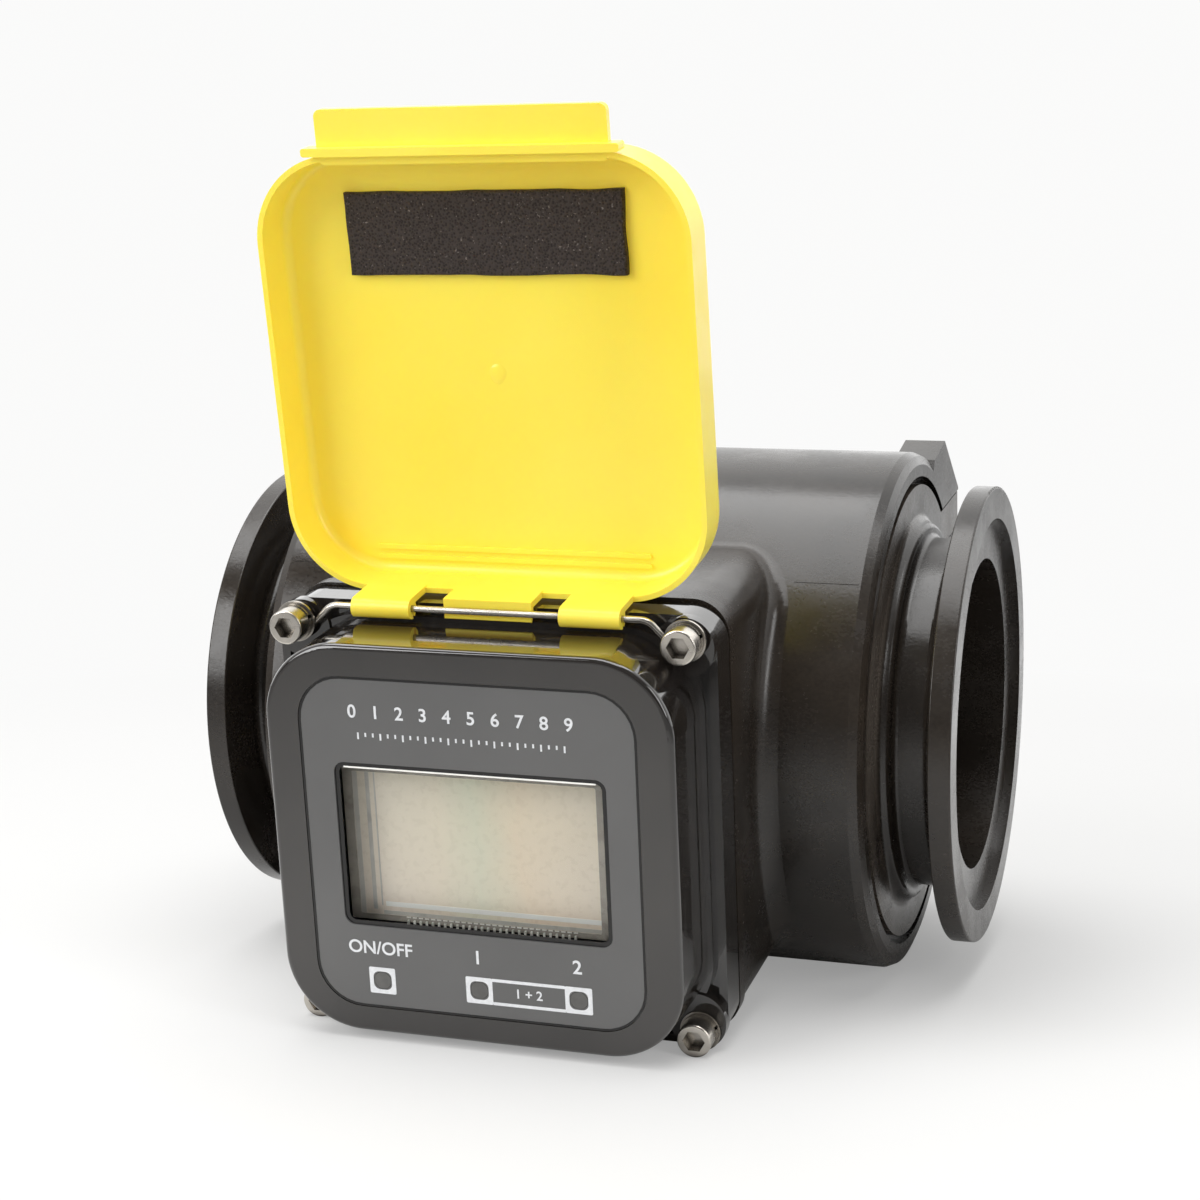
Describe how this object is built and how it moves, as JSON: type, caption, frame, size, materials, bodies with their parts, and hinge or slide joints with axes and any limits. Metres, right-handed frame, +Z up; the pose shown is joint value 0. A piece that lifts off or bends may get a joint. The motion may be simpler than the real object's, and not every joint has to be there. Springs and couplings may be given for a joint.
{
  "type": "inline flow meter",
  "caption": "Inline electromagnetic flow meter with clamp flanges, a square display box, finger switch windows and a flip-up lid on a wire hinge.",
  "frame": {"origin": "centre of the flow bore, midway between the two flange faces", "axes": "+X along the bore towards the outlet, -Y the way the display faces, +Z up along the display"},
  "size_m": [0.1856, 0.1773, 0.2194],
  "materials": {
    "housing_black": "moulded, slightly worn",
    "adapter_black": "moulded, worn grey",
    "cover_black": "gloss",
    "label_grey": "satin print film",
    "window_clear": "clear",
    "display_grey": "satin",
    "frame_black": "matte",
    "board_green": "solder mask",
    "lens_dark": "polished",
    "lid_yellow": "semi-gloss",
    "foam_black": "open cell foam",
    "stainless": "bright",
    "seal_rubber": "matte",
    "liner_black": "moulded smooth",
    "coil_copper": "enamelled winding",
    "band_steel": "bare",
    "cell_wrap": "sleeve"
  },
  "bodies": {
    "meter": {"barrel_housing": "housing_black", "outlet_adapter": "adapter_black", "inlet_adapter": "adapter_black", "flow_liner": "liner_black", "outlet_tube_seal": "seal_rubber", "inlet_tube_seal": "seal_rubber", "return_band": "band_steel", "display_cover": "cover_black", "cover_gasket": "seal_rubber", "label_panel": "label_grey", "window_pane": "window_clear", "display_frame": "frame_black", "display_glass": "display_grey", "circuit_board": "board_green", "battery_holder": "frame_black", "lead_grommet": "seal_rubber", "hinge_wire": "stainless", "electrode_front": "stainless", "electrode_nut_front": "stainless", "electrode_seal_front": "seal_rubber", "electrode_rear": "stainless", "electrode_nut_rear": "stainless", "electrode_seal_rear": "seal_rubber", "coil_upper": "coil_copper", "pole_shoe_upper": "band_steel", "battery_cell_upper": "cell_wrap", "coil_lower": "coil_copper", "pole_shoe_lower": "band_steel", "battery_cell_lower": "cell_wrap", "finger_lens_left": "lens_dark", "finger_lens_middle": "lens_dark", "finger_lens_right": "lens_dark", "flat_washer_upper_left": "stainless", "lock_washer_upper_left": "stainless", "cover_screw_upper_left": "stainless", "flat_washer_upper_right": "stainless", "lock_washer_upper_right": "stainless", "cover_screw_upper_right": "stainless", "flat_washer_lower_left": "stainless", "lock_washer_lower_left": "stainless", "cover_screw_lower_left": "stainless", "flat_washer_lower_right": "stainless", "lock_washer_lower_right": "stainless", "cover_screw_lower_right": "stainless"},
    "lid": {"lid": "lid_yellow", "foam_pad": "foam_black"}
  },
  "joints": [
    {"name": "lid_hinge", "type": "hinge", "parent": "meter", "child": "lid", "pos_m": [0, -0.0968, 0.0487], "axis": [1, 0, 0], "range_deg": [0, 175.5]}
  ]
}
